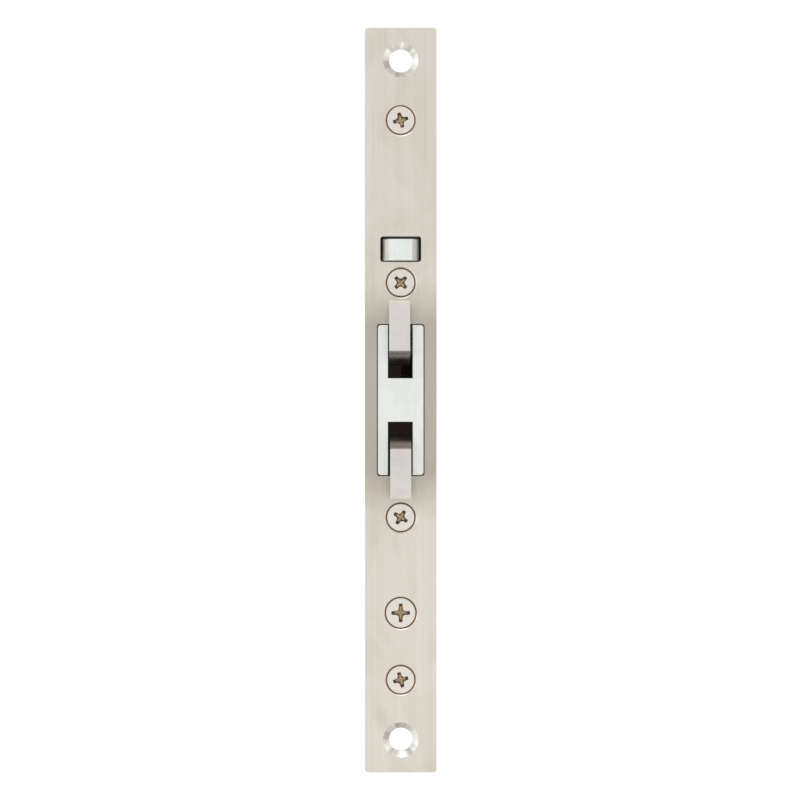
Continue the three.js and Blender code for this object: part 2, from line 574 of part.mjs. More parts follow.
put('faceplate', faceplate(), brushed);
put('hook_guide', hookGuide(), zinc);
put('upper_hook', hook(UPPER_HOOK_X), hookSteel);
put('lower_hook', mirrored(hook(0)), hookSteel);
put('upper_hook_pin', rodX(PIVOT.pin, PIN_X, PIVOT.y, PIVOT.z), screwSteel);
put('lower_hook_pin', rodX(PIVOT.pin, PIN_X, PIVOT.y, -PIVOT.z), screwSteel);
put('upper_rack_bar', upperRackBar(), barSteel);
put('drive_bar', driveBar(), barSteel);
put('reversing_pinion', reversingPinion(), barSteel);
put('pinion_axle', rodX(PINION.axle, PIN_X, PINION.y, PINION.z), screwSteel);
[...RACK_STUDS, ...DRIVE_STUDS].forEach(([y, z], n) => {
  put(`guide_stud_${n + 1}`, rodX(STUD.radius, [GEAR_X[0] + SCREW_FACE, PIN_X[1]], y, z), screwSteel);
});
put('trigger', trigger(), zinc);
put('trigger_spring', triggerSpring(), springSteel);
put('interlock_lever', interlockLever(), barSteel);
put('interlock_pin', rodX(LEVER.pin, PIN_X, LEVER.y, LEVER.z), screwSteel);
put('detent_spring', detentSpring(), springSteel);
put('detent_rivet', detentRivet(), screwSteel);
put('case_body', caseBody(), caseSteel);
put('case_cover', caseCover(), caseSteel);
CASE_SCREW_Z.forEach((z, n) => {
  put(`case_screw_${n + 1}`, faceScrew(z, CASE_SCREW, CASE_SCREW_TURN[n]), screwSteel);
});
put('cylinder_screw', faceScrew(CYLINDER_SCREW.z, CYLINDER_SCREW, 0), screwSteel);
COVER_SCREWS.forEach((place, n) => put(`cover_screw_${n + 1}`, coverScrew(place), screwSteel));

export default lock;
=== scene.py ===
import math

import bmesh
import bpy
from mathutils import Matrix, Vector


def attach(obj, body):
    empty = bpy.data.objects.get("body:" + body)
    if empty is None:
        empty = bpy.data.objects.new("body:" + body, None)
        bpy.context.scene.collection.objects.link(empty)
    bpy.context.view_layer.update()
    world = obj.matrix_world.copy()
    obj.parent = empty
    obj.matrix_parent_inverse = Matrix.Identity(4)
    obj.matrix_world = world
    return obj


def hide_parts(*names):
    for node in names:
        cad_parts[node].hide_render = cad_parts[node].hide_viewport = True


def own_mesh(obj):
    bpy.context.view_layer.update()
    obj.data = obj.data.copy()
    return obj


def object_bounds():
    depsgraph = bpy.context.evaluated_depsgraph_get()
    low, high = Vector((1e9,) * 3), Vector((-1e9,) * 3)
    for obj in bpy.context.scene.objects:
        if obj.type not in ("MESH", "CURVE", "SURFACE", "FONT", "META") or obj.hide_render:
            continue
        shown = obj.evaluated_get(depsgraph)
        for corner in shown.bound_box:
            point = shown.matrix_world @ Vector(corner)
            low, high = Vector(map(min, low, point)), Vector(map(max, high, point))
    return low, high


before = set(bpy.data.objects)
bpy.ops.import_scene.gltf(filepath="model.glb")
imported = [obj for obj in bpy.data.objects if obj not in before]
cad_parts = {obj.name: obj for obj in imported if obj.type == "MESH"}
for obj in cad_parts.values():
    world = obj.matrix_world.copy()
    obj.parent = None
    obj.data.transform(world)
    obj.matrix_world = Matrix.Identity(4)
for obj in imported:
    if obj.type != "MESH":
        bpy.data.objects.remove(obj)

CAD_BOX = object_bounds()
MM = 0.001
ROUND = 64  # sides of a round piece or hole

# Sizes in millimetres, in the CAD's frame
PLATE_WIDTH, PLATE_HEIGHT, PLATE_THICK, PLATE_CORNER = 20.0, 208.0, 3.0, 0.9
PLATE_EDGE = 0.12
THROUGH_PLATE = (-1, 4)  # along Y
SLOT = (13.4, 42.5, 0.9)  # width, height and corner
WINDOW, WINDOW_Z = (11.4, 7.1, 0.7), 42.15
FIXING_Z = (95.0, -95.0)
FIXING_HOLE = (3.25, 4.9, 0.05)  # bore, mouth and straight depth
CASE_SCREWS = ((78.2, 15), (32.8, 45), (-32.8, 58), (-78.2, 15))  # height, recess's turn in degrees
CASE_SCREW = (3.85, 2, 11.5, 4.3, 1.5)  # head, shank, length, and the recess's span and depth
CASE_POCKET = (2.4, 4.12, 0.45, 0.38)  # bore, mouth, straight depth and lip
CYLINDER_SCREW_Z = -59.5
CYLINDER_SCREW = (4.15, 2.5, 19, 5.2, 1.8)
CYLINDER_POCKET = (2.9, 4.5, 0.35, 0.25)

PIVOT_Y, PIVOT_Z, HUB_R, PIVOT_BORE = 7.0, 25.5, 3.6, 2.3
HOOK_HALF = 2.9
UPPER_HOOK_SHIFT = -0.3  # along X
HOOK_LOW, HOOK_TOP, HOOK_FRONT = 13.3, 27.4, -9.3
HOOK_THROAT, HOOK_THROAT_ARC = 11.7, (226, 177)
HOOK_ARM, HOOK_FOOT = (1.6, 3.2), (2.6, 2.4)  # from the pivot: before it, and behind it
HOOK_TOP_EDGE, HOOK_LOW_EDGE = 0.4, (0.5, 0.3)
HOOK_BEAK = (-5, -6.3)  # along Y: where its inner curve bends, and ends
HOOK_UNDERSIDE, HOOK_HEEL = ((-5, 11), (0, 10.3)), (5, 9.8)
HOOK_SWEEP = math.hypot(PIVOT_Y - HOOK_FRONT, PIVOT_Z - HOOK_LOW)
GEAR_X = (3.2, 5.2)  # the plane that every rack and gear runs in
SECTOR_ARC, SECTOR_TEETH = (15, -75), (0, -30, -60)  # degrees
SECTOR_PITCH, SECTOR_ROOT = 6, 5.05
PRESSURE = math.radians(25)
BACKLASH = 0.2
ADDENDUM, TOOTH_DEPTH = 0.7, 1.35  # past and below the pitch circle

GUIDE_HALF, GUIDE_HEIGHT, GUIDE_CORNER = 6.33, 41.9, 0.8
GUIDE_CHANNEL = (-3.6, 3.38)
GUIDE_BACK_WIDTH, GUIDE_FLANGE_HEIGHT, GUIDE_BACK_CORNER = 11.9, 43.2, 0.3
GUIDE_FRONT_Y, GUIDE_BACK_Y, GUIDE_FLANGE_Y = (0, 3.2), (3.1, 6.2), (3.4, 4.8)
GUIDE_RELIEF_ARC = (-125, -75)  # degrees
GUIDE_CLEARANCE = 0.3  # round the hooks' sweep
TRIGGER_Z, TRIGGER_HALF = 41.85, 2.95
TRIGGER_NOSE = ((-3.2, -3), (3.2, -3), (5.05, 0.4), (5.05, 9), (-5.05, 9), (-5.05, 0.4))  # (X, Y)
TRIGGER_SHOULDER, TRIGGER_SHOULDER_Y = (10.1, 8.1, 0.3), (3.4, 5.4)
TRIGGER_FOOT_X, TRIGGER_FOOT_Y, TRIGGER_FOOT_HALF = (3.2, 5.04), (8, 12.6), 1.5

SHEET_X = 7.5  # outer faces of the case
CASE_WALL = 1.2
CASE_FLOOR, CASE_RIM = -6.3, 6.0  # along X
CASE_FRONT, FRONT_WALL, CASE_BACK, LUG_BACK = 3.3, 1.5, 41, 14
CASE_BOTTOM, CASE_LOW_STEP, CASE_STEP, CASE_TOP = -83.5, -74, 60, 83.5
CASE_CHAMFER = 2
THROUGH_CASE = (-9, 9)  # along X
BOSS_ROOT = CASE_FLOOR - 0.5
FRONT_CUT_Y, FRONT_OPENINGS = (0, 4.9), ((-29.4, 29.4), (37.4, 46.9))  # for the hooks and the trigger
SCREW_BOSS_X, SCREW_BOSS_Y, SCREW_BOSS_HALF = 2.9, (3.8, 12.4), 3
CYLINDER_BOSS_X, CYLINDER_BOSS_Y, CYLINDER_BOSS_HALF = 4.4, (3.8, 9.5), 3.8
SPRING_BOSS_X, SPRING_BOSS_Y, SPRING_BOSS_HALF = 2.9, (22, 23.4), 3
DETENT_BOSS_X, DETENT_BOSS_Y, DETENT_BOSS_Z = 5.4, (35, 40.5), (18, 24)
RIVET_HOLE = (1.3, 34, 39.5, 2.7, 21)  # radius, two ends along Y, X and Z
PIVOT_PAD_R, PIVOT_PAD_X, AXLE_PAD_X, LEVER_PAD_X = 3.4, -3.6, -1.3, 2.9
BLIND = 13.4  # how far the screw holes run, along Y
POST_R, POST_HOLE_R = 3, 1.8
PIN_HOLE_END = 3.2
COVER_SCREWS = ((36, 52), (36, 31), (36, -24), (36, -68), (9.2, 66), (9.2, -70.5))
COVER_SCREW_LONG, COVER_SCREW_SLOT, COVER_SCREW_SLOT_DEEP = 8, 0.35, 0.7
STUDS = ((17.3, 15.2), (17.3, 23.4), (17.3, -27), (28.9, -7))
STUD_R, STUD_HOLE_R, STUD_START = 1.25, 1.55, 3.25
AXLE, LEVER_PIN = (21, 0), (15.5, 53)
HOOK_PIN_R, AXLE_R, LEVER_PIN_R = 2.0, 1.5, 1.3
PIN_HOLES = ((PIVOT_Y, PIVOT_Z, PIVOT_BORE), (PIVOT_Y, -PIVOT_Z, PIVOT_BORE),
             (*AXLE, 1.8), (*LEVER_PIN, 1.6))
PIN_END = 0.1  # how far a pin ends inside the case's sides
PIN_EDGE = 0.3
CYLINDER_Y, CYLINDER_Z, CYLINDER_ROUND = 25, -45, 8.5
LOBE_Z, LOBE_R = -64.5, 5
FINE_EDGE = 0.05
HEAD_RIM = 0.35  # where a countersunk head's cone begins

# Where a material changes, in metres on the piece: a pair is the start and the end of a change
# Where the hooks' shade and reflection are painted on the faceplate
HOOK_SHADE_ZONE = (0.021, 0.033)  # from the middle of the faceplate, up and down
BELOW_FACE = (0.0001, 0.0003)
OPENING_HALF = (0.007, 0.0072)
# Where the painted shade in the faceplate's openings ends, up and down
SHADE_ENDS = (0.083, 0.0832)
PAST_SLOT = (0.024, 0.025)
POCKET_HALF = (0.0047, 0.0049)
OFF_WINDOW = (0.004, 0.0041)
COUNTERSINK_MOUTH = (0.00485, 0.005)
COUNTERSINK_FLOOR = (0.002, 0.0022)
GUIDE_ENDS = (0.022, 0.0225)
GUIDE_SUNK = (0.0002, 0.0005)
TRIGGER_SUNK = (0.0011, 0.0018)
UNDER_HEAD = (0.0021, 0.0025)
# Where the brown painted shade on a screw head's rim begins and ends, below its face
HEAD_EDGE_SHADE = (0.00006, 0.0003)
RECESS_FLOOR = (0.001, 0.0016)


# ---------------------------------------------------------------- shapes

def arc(cy, cz, radius, start, stop, steps=24):
    """Points from angle start to stop, in degrees, about (cy, cz)."""
    turns = [math.radians(start + (stop - start) * i / steps) for i in range(steps + 1)]
    return [(cy + radius * math.cos(t), cz + radius * math.sin(t)) for t in turns]


def bezier(a, b, c, steps=12):
    """Points of a quadratic curve from a, past b, to c."""
    out = []
    for i in range(steps + 1):
        t = i / steps
        out.append(tuple((1 - t) ** 2 * p + 2 * t * (1 - t) * q + t * t * r for p, q, r in zip(a, b, c)))
    return out


def rounded(width, height, corner, cx=0.0, cz=0.0, steps=8):
    """A rectangle with round corners, about (cx, cz)."""
    w, h = width / 2 - corner, height / 2 - corner
    out = []
    for sx, sz, start in ((1, -1, -90), (1, 1, 0), (-1, 1, 90), (-1, -1, 180)):
        out += arc(cx + sx * w, cz + sz * h, corner, start, start + 90, steps)
    return out


def circle(cu, cv, radius, sides=ROUND):
    return arc(cu, cv, radius, 0, 360 - 360 / sides, sides - 1)


def to_xyz(axis, u, v, w):
    """The place that is u, v across an axis and w along it."""
    return {"X": (w, u, v), "Y": (u, w, v), "Z": (u, v, w)}[axis]


def prism(name, outline, axis, low, high):
    """A solid along an axis from low to high. Its outline is in (Y, Z), (X, Z) or (X, Y) for X, Y or Z."""
    bm = bmesh.new()
    rings = []
    for w in (low, high):
        rings.append([bm.verts.new([c * MM for c in to_xyz(axis, u, v, w)]) for u, v in outline])
    bm.faces.new(rings[0])
    bm.faces.new(list(reversed(rings[1])))
    for i in range(len(outline)):
        j = (i + 1) % len(outline)
        bm.faces.new((rings[0][j], rings[0][i], rings[1][i], rings[1][j]))
    return from_bmesh(name, bm)


def around(middle, half):
    return middle - half, middle + half


def block(x, y, z):
    return prism("block", [(y[0], z[0]), (y[1], z[0]), (y[1], z[1]), (y[0], z[1])], "X", *x)


def turned(name, profile, axis, u, v, sides=ROUND):
    """A turned solid about a line through (u, v): profile is (radius, place along the axis)."""
    bm = bmesh.new()
    rings = []
    for radius, w in profile:
        if radius < 1e-6:
            rings.append([bm.verts.new([c * MM for c in to_xyz(axis, u, v, w)])])
        else:
            ring = circle(u, v, radius, sides)
            rings.append([bm.verts.new([c * MM for c in to_xyz(axis, a, b, w)]) for a, b in ring])
    for low, high in zip(rings, rings[1:]):
        for i in range(sides):
            j = (i + 1) % sides
            corners = [low[i % len(low)], low[j % len(low)], high[j % len(high)], high[i % len(high)]]
            bm.faces.new(list(dict.fromkeys(corners)))
    return from_bmesh(name, bm)


def rod_x(radius, low, high, y, z):
    return turned("rod", ((0, low), (radius, low), (radius, high), (0, high)), "X", y, z)


def rod_y(radius, low, high, x, z):
    return turned("rod", ((0, low), (radius, low), (radius, high), (0, high)), "Y", x, z)


def from_bmesh(name, bm):
    bmesh.ops.remove_doubles(bm, verts=bm.verts, dist=1e-7)
    bmesh.ops.recalc_face_normals(bm, faces=bm.faces)
    mesh = bpy.data.meshes.new(name)
    bm.to_mesh(mesh)
    bm.free()
    obj = bpy.data.objects.new(name, mesh)
    bpy.context.scene.collection.objects.link(obj)
    return obj


def settle(obj):
    """Applies the object's modifiers to its mesh."""
    bpy.context.view_layer.update()
    graph = bpy.context.evaluated_depsgraph_get()
    mesh = bpy.data.meshes.new_from_object(obj.evaluated_get(graph))
    obj.modifiers.clear()
    obj.data = mesh
    return obj


def combine(obj, others, operation):
    """Joins or cuts the object with others, which are used up."""
    for other in others:
        step = obj.modifiers.new("cut", "BOOLEAN")
        step.operation = operation
        step.solver = "MANIFOLD"
        step.object = other
        settle(obj)
        bpy.data.objects.remove(other)
    return obj


def cut(obj, *others):
    return combine(obj, others, "DIFFERENCE")


def join(obj, *others):
    return combine(obj, others, "UNION")


def soften(obj, width, segments=3, angle=30):
    """Rounds the edges by width in millimetres and keeps the flats flat."""
    bm = bmesh.new()
    bm.from_mesh(obj.data)
    bmesh.ops.triangulate(bm, faces=bm.faces)
    bmesh.ops.remove_doubles(bm, verts=bm.verts, dist=2e-6)
    bmesh.ops.dissolve_limit(bm, angle_limit=math.radians(0.5), verts=bm.verts, edges=bm.edges)
    bm.to_mesh(obj.data)
    bm.free()
    bevel = obj.modifiers.new("edge", "BEVEL")
    bevel.width = width * MM
    bevel.segments = segments
    bevel.limit_method = "ANGLE"
    bevel.angle_limit = math.radians(angle)
    bevel.use_clamp_overlap = True
    bevel.miter_outer = "MITER_ARC"
    settle(obj)
    obj.data.shade_smooth()
    weighted = obj.modifiers.new("normals", "WEIGHTED_NORMAL")
    weighted.keep_sharp = True
    weighted.weight = 100
    return settle(obj)


# ---------------------------------------------------------------- materials

class Nodes:
    """A short way to write a node material."""

    def __init__(self, name):
        self.material = bpy.data.materials.new(name)
        self.material.use_nodes = True
        self.tree = self.material.node_tree
        self.shader = self.tree.nodes["Principled BSDF"]
        self.place = self.add("ShaderNodeTexCoord").outputs["Object"]

    def add(self, kind, **inputs):
        node = self.tree.nodes.new(kind)
        for key, value in inputs.items():
            self.put(node.inputs[key.replace("_", " ")], value)
        return node

    def put(self, socket, value):
        if isinstance(value, bpy.types.NodeSocket):
            self.tree.links.new(value, socket)
        else:
            socket.default_value = value

    def noise(self, scale, detail=4.0, rough=0.6, distortion=0.0):
        """Noise from 0 to 1, with scale (x, y, z) in cycles a metre."""
        mapping = self.add("ShaderNodeMapping", Vector=self.place, Scale=scale)
        noise = self.add("ShaderNodeTexNoise", Vector=mapping.outputs[0])
        noise.inputs["Scale"].default_value = 1.0
        noise.inputs["Detail"].default_value = detail
        noise.inputs["Roughness"].default_value = rough
        noise.inputs["Distortion"].default_value = distortion
        return noise.outputs["Fac"]

    def span(self, value, low, high, start=0.3, stop=0.7):
        """Maps value from start to stop onto low to high, and holds it there."""
        node = self.add("ShaderNodeMapRange")
        for key, number in (("From Min", start), ("From Max", stop), ("To Min", low), ("To Max", high)):
            node.inputs[key].default_value = number
        self.put(node.inputs["Value"], value)
        return node.outputs["Result"]

    def rise(self, value, ends):
        """0 before the first of ends, 1 past the second."""
        return self.span(value, 0, 1, *ends)

    def fall(self, value, ends):
        return self.span(value, 1, 0, *ends)

    def split(self):
        """The place on the piece as three values, in metres."""
        return self.add("ShaderNodeSeparateXYZ", Vector=self.place).outputs

    def maths(self, operation, a, b=0.0):
        node = self.tree.nodes.new("ShaderNodeMath")
        node.operation = operation
        self.put(node.inputs[0], a)
        self.put(node.inputs[1], b)
        return node.outputs[0]

    def mix(self, factor, a, b, blend="MIX"):
        node = self.tree.nodes.new("ShaderNodeMix")
        node.data_type = "RGBA"
        node.blend_type = blend
        self.put(node.inputs["Factor"], factor)
        self.put(node.inputs["A"], a)
        self.put(node.inputs["B"], b)
        return node.outputs["Result"]

    def bump(self, height, depth, before=None):
        """Height from 0 to 1 stands for depth in millimetres."""
        node = self.add("ShaderNodeBump", Height=height)
        node.inputs["Distance"].default_value = depth * MM
        node.inputs["Strength"].default_value = 1.0
        if before is not None:
            self.tree.links.new(before, node.inputs["Normal"])
        return node.outputs["Normal"]

    def done(self, colour, rough, normal=None, metallic=1.0, **more):
        self.put(self.shader.inputs["Base Color"], colour)
        self.put(self.shader.inputs["Roughness"], rough)
        self.put(self.shader.inputs["Metallic"], metallic)
        if normal is not None:
            self.put(self.shader.inputs["Normal"], normal)
        for key, value in more.items():
            self.shader.inputs[key.replace("_", " ")].default_value = value
        return self.material


def linear(red, green, blue):
    """An 8-bit display colour as linear light."""
    channel = [c / 255 for c in (red, green, blue)]
    light = [c / 12.92 if c <= 0.04045 else ((c + 0.055) / 1.055) ** 2.4 for c in channel]
    return (*light, 1.0)


def brushing(n, light, dark, grain, rough, depth):
    """Colour, roughness and normal of brushed metal: grain is in cycles a metre on each axis."""
    fine = n.noise(grain, 5.0, 0.65)
    broad = n.noise(tuple(g / 7 for g in grain), 3.0, 0.5)
    handling = n.noise((60, 60, 45), 3.0, 0.55, 0.6)
    both = n.maths("ADD", n.maths("MULTIPLY", fine, 0.65), n.maths("MULTIPLY", broad, 0.35))
    marks = n.span(both, 0, 1, 0.36, 0.64)
    colour = n.mix(marks, dark, light)
    colour = n.mix(n.span(handling, 0.0, 0.35, 0.45, 0.75), colour, dark, "MULTIPLY")
    roughness = n.maths("ADD", n.span(fine, *rough), n.span(handling, -0.03, 0.05, 0.4, 0.7))
    return colour, roughness, n.bump(fine, depth)


# Brown painted shade for the gap round a screw head
GAP_SHADE_BROWN = linear(84, 56, 32)
# Painted shade in gaps: near black on the walls of the faceplate's openings, brown in its screw pockets,
# near black on the guide's sunk walls
OPENING_SHADE, POCKET_SHADE, SUNK_SHADE = linear(34, 26, 20), linear(176, 130, 92), linear(40, 32, 26)


def plate_steel():
    """Brushed steel, with the hooks' shade and reflection painted beside them, painted shade on the walls
    of its openings and screw pockets, and painted highlights round the fixing holes' countersinks.
    """
    n = Nodes("faceplate_brushed_steel")
    light, dark = linear(219, 213, 204), linear(209, 202, 192)
    colour, rough, normal = brushing(n, light, dark, (7500, 900, 48), (0.3, 0.4), 0.003)
    across, depth, height = n.split()
    off_centre = n.maths("ABSOLUTE", across)
    from_middle = n.maths("ABSOLUTE", height)
    # Painted shade and reflection of the hooks: the plate beside them is painted darker and tan
    edge = n.span(n.noise((90, 90, 40), 3.0), -0.003, 0.003)
    hook_shade_and_reflection = n.span(n.maths("ADD", from_middle, edge), 0.72, 0.0, *HOOK_SHADE_ZONE)
    colour = n.mix(hook_shade_and_reflection, colour, linear(165, 157, 143))
    # Painted shade below the plate's face: near black on the walls of the slot and window, brown in the
    # screw pockets
    inside = n.maths("MULTIPLY", n.rise(depth, BELOW_FACE), n.fall(off_centre, OPENING_HALF))
    inside = n.maths("MULTIPLY", inside, n.fall(from_middle, SHADE_ENDS))
    pocket = n.maths("MULTIPLY", n.rise(from_middle, PAST_SLOT), n.fall(off_centre, POCKET_HALF))
    off_window = n.rise(n.maths("ABSOLUTE", n.maths("SUBTRACT", height, WINDOW_Z * MM)), OFF_WINDOW)
    gap_shade = n.mix(n.maths("MULTIPLY", pocket, off_window), OPENING_SHADE, POCKET_SHADE)
    colour = n.mix(n.maths("MULTIPLY", inside, 0.9), colour, gap_shade)
    # Painted highlights and reflections: pale and dark streaks round the fixing holes' countersinks
    off_hole = n.maths("SUBTRACT", from_middle, FIXING_Z[0] * MM)
    squares = [n.maths("MULTIPLY", part, part) for part in (across, off_hole)]
    radius = n.maths("SQRT", n.maths("ADD", *squares))
    countersink_glint_area = n.maths("MULTIPLY", n.fall(radius, COUNTERSINK_MOUTH), n.fall(depth, COUNTERSINK_FLOOR))
    side, rise = (n.maths("DIVIDE", part, radius) for part in (across, off_hole))
    direction = n.add("ShaderNodeCombineXYZ", X=side, Y=rise).outputs[0]
    glint_streaks = n.add("ShaderNodeTexNoise", Vector=direction, Scale=1.5, Detail=2.0).outputs["Fac"]
    cone = n.mix(n.span(glint_streaks, 0, 1, 0.38, 0.6), linear(192, 189, 182), linear(250, 248, 243))
    colour = n.mix(countersink_glint_area, colour, cone)
    return n.done(colour, rough, normal, n.span(inside, 1.0, 0.3, 0, 1), Anisotropic=0.35)


def hook_steel():
    """Ground steel, with painted shade on the faces that turn towards the other hook."""
    n = Nodes("hook_ground_steel")
    light, dark = linear(215, 211, 206), linear(206, 202, 196)
    colour, rough, normal = brushing(n, light, dark, (1100, 300, 6500), (0.27, 0.36), 0.0012)
    height = n.split()[2]
    facing = n.tree.nodes["Texture Coordinate"].outputs["Normal"]
    upward = n.add("ShaderNodeSeparateXYZ", Vector=facing).outputs[2]
    inward = n.maths("MULTIPLY", upward, n.maths("SIGN", height))
    # Painted shade: the faces turned towards the other hook are painted darker
    colour = n.mix(n.span(inward, 0.9, 0.0, -0.75, -0.2), colour, linear(116, 108, 98))
    return n.done(colour, rough, normal, Anisotropic=0.2)


def case_steel():
    n = Nodes("case_zinc_plated_sheet")
    mapping = n.add("ShaderNodeMapping", Vector=n.place, Scale=(260, 260, 260))
    spangle = n.add("ShaderNodeTexVoronoi", Vector=mapping.outputs[0], Scale=1.0).outputs["Color"]
    value = n.add("ShaderNodeRGBToBW", Color=spangle).outputs[0]
    roll = n.noise((900, 60, 2600), 4.0, 0.6)
    stain = n.noise((35, 35, 30), 4.0, 0.6, 0.8)
    colour = n.mix(n.span(value, 0, 1, 0, 1), linear(186, 189, 190), linear(198, 200, 200))
    colour = n.mix(n.span(stain, 0.0, 0.3, 0.45, 0.75), colour, linear(196, 188, 172), "MULTIPLY")
    rough = n.maths("ADD", n.span(value, 0.34, 0.44, 0, 1), n.span(roll, -0.05, 0.06))
    return n.done(colour, rough, n.bump(roll, 0.004))


INSIDE_GLOW = 0.012  # stands in for stray light in the case


def case_inside():
    """The case's inner faces: sheet under a film of dark old grease."""
    n = Nodes("case_greased_inside")
    film = n.noise((120, 120, 90), 4.0, 0.6, 0.5)
    fine = n.noise((1500, 1500, 1500), 3.0)
    colour = n.mix(n.span(film, 0, 1), linear(92, 80, 68), linear(120, 106, 92))
    n.shader.inputs["Emission Color"].default_value = linear(232, 205, 186)
    n.shader.inputs["Emission Strength"].default_value = INSIDE_GLOW
    return n.done(colour, n.span(fine, 0.42, 0.6), n.bump(fine, 0.006), metallic=0.35)


def bar_steel():
    n = Nodes("bar_steel")
    light, dark = linear(138, 133, 124), linear(108, 103, 95)
    colour, rough, normal = brushing(n, light, dark, (400, 2600, 300), (0.34, 0.5), 0.005)
    return n.done(colour, rough, normal, Anisotropic=0.35)


def cast_zinc():
    """Die-cast zinc with a fine skin, with near-black painted shade on the guide's sunk walls and the
    trigger's hidden sides.
    """
    n = Nodes("die_cast_zinc")
    skin = n.noise((2400, 2400, 2400), 3.0, 0.55)
    flow = n.noise((240, 240, 160), 4.0, 0.6, 1.2)
    pits = n.noise((5200, 5200, 5200), 2.0, 0.5)
    colour = n.mix(n.span(flow, 0, 1, 0.35, 0.65), linear(221, 224, 221), linear(230, 232, 229))
    colour = n.mix(n.span(pits, 0.0, 0.4, 0.56, 0.72), colour, linear(186, 186, 180))
    _, depth, height = n.split()
    # Painted shade: the guide's sunk walls and the trigger's hidden sides are painted near black
    guide = n.span(n.maths("ABSOLUTE", height), 0.9, 0.0, *GUIDE_ENDS)
    sunk = n.maths("MULTIPLY", n.rise(depth, GUIDE_SUNK), guide)
    sunk = n.maths("MAXIMUM", sunk, n.span(depth, 0, 0.9, *TRIGGER_SUNK))
    colour = n.mix(sunk, colour, SUNK_SHADE)
    rough = n.maths("ADD", n.span(skin, 0.3, 0.42), n.span(flow, -0.04, 0.05))
    normal = n.bump(skin, 0.006)
    return n.done(colour, rough, n.bump(pits, 0.003, normal), n.span(sunk, 0.9, 0.3, 0, 1))


def turned_steel(name, axis):
    """Steel with tool marks in rings round the piece's axis, which holds its origin.

    On the screws that face the front, along Y, the head's rim is painted brown as the shade of the gap
    round it, and the recess floor is painted tan.
    """
    n = Nodes(name)
    parts = n.split()
    across = [parts[i] for i in range(3) if i != "XYZ".index(axis)]
    squares = [n.maths("MULTIPLY", p, p) for p in across]
    radius = n.maths("SQRT", n.maths("ADD", *squares))
    wander = n.noise((500, 500, 500), 2.0)
    wave = n.maths("ADD", n.maths("MULTIPLY", radius, 24000.0), n.maths("MULTIPLY", wander, 7.0))
    rings = n.maths("SINE", wave)
    fine = n.noise((2600, 2600, 2600), 3.0)
    grain = n.span(n.maths("ADD", n.maths("MULTIPLY", rings, 0.06), fine), 0, 1)
    colour = n.mix(grain, linear(212, 206, 197), linear(224, 220, 212))
    metallic = 1.0
    if axis == "Y":
        depth = parts[1]
        in_head = n.fall(depth, UNDER_HEAD)
        # Painted shade: the head's rim, in the gap round it, is painted brown
        below = n.maths("MULTIPLY", n.span(depth, 0, 0.95, *HEAD_EDGE_SHADE), in_head)
        colour = n.mix(below, colour, GAP_SHADE_BROWN)
        # The recess floor is painted tan
        floor_of_recess = n.maths("MULTIPLY", n.span(depth, 0, 0.75, *RECESS_FLOOR), in_head)
        colour = n.mix(floor_of_recess, colour, linear(236, 214, 178))
        metallic = n.span(below, 1.0, 0.15, 0, 1)
    rough = n.maths("ADD", n.span(rings, 0.24, 0.32, -1, 1), n.span(fine, -0.03, 0.06))
    return n.done(colour, rough, n.bump(n.span(rings, 0, 1, -1, 1), 0.0015), metallic)


def spring_steel():
    n = Nodes("spring_wire")
    drawn = n.noise((3000, 3000, 3000), 3.0)
    tint = n.noise((120, 120, 120), 3.0)
    colour = n.mix(n.span(tint, 0, 1), linear(150, 150, 148), linear(178, 176, 170))
    return n.done(colour, n.span(drawn, 0.22, 0.36), n.bump(drawn, 0.002))


PLATE, HOOK, CASE = plate_steel(), hook_steel(), case_steel()
INSIDE, BAR, ZINC = case_inside(), bar_steel(), cast_zinc()
FACE_SCREW, SIDE_SCREW = turned_steel("screw_face_steel", "Y"), turned_steel("screw_side_steel", "X")
SPRING = spring_steel()


def place(obj, material, body, slot, *nodes, origin=None):
    """Finishes a piece: its material, the body it rides on and the CAD nodes it stands for. The slot
    argument is not used.
    """
    if origin is not None:
        shift = Vector(origin) * MM
        obj.data.transform(Matrix.Translation(-shift))
        obj.location = shift
    obj.data.materials.clear()
    obj.data.materials.append(material)
    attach(obj, body)
    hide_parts(*nodes)
    return obj


# ---------------------------------------------------------------- camera, light and floor

CAMERA_OFF, SEEN_WIDTH = 0.7, 0.2235  # metres: the camera's distance, and the width it takes in there
SENSOR, CAMERA_SHIFT = 36, -0.0009
FLOOR_HALF, FLOOR_GAP = 6.0, 0.0002
STRIP, STRIP_POWER = (-0.97, -0.8), 0.75
LEFT_POWER, RIGHT_POWER, SIDES = 0.97, 1.07, (-0.7, 0.7)
FLOOR_GLOW = 0.81


def look():
    scene = bpy.context.scene
    scene.view_settings.view_transform = "Standard"
    camera = bpy.data.objects.new("camera", bpy.data.cameras.new("camera"))
    scene.collection.objects.link(camera)
    camera.location = (0, -CAMERA_OFF, 0)
    camera.rotation_euler = (math.pi / 2, 0, 0)
    camera.data.lens = SENSOR * CAMERA_OFF / SEEN_WIDTH
    camera.data.shift_x = CAMERA_SHIFT
    camera.data.clip_start = 0.01
    scene.camera = camera


def area(name, where, size, power, colour=(1, 1, 1)):
    """A rectangular lamp that faces the object."""
    light = bpy.data.lights.new(name, "AREA")
    light.shape = "RECTANGLE"
    light.size, light.size_y = size
    light.energy = power
    light.color = colour
    obj = bpy.data.objects.new(name, light)
    obj.location = where
    obj.rotation_euler = (Vector(where)).to_track_quat("Z", "Y").to_euler()
    bpy.context.scene.collection.objects.link(obj)


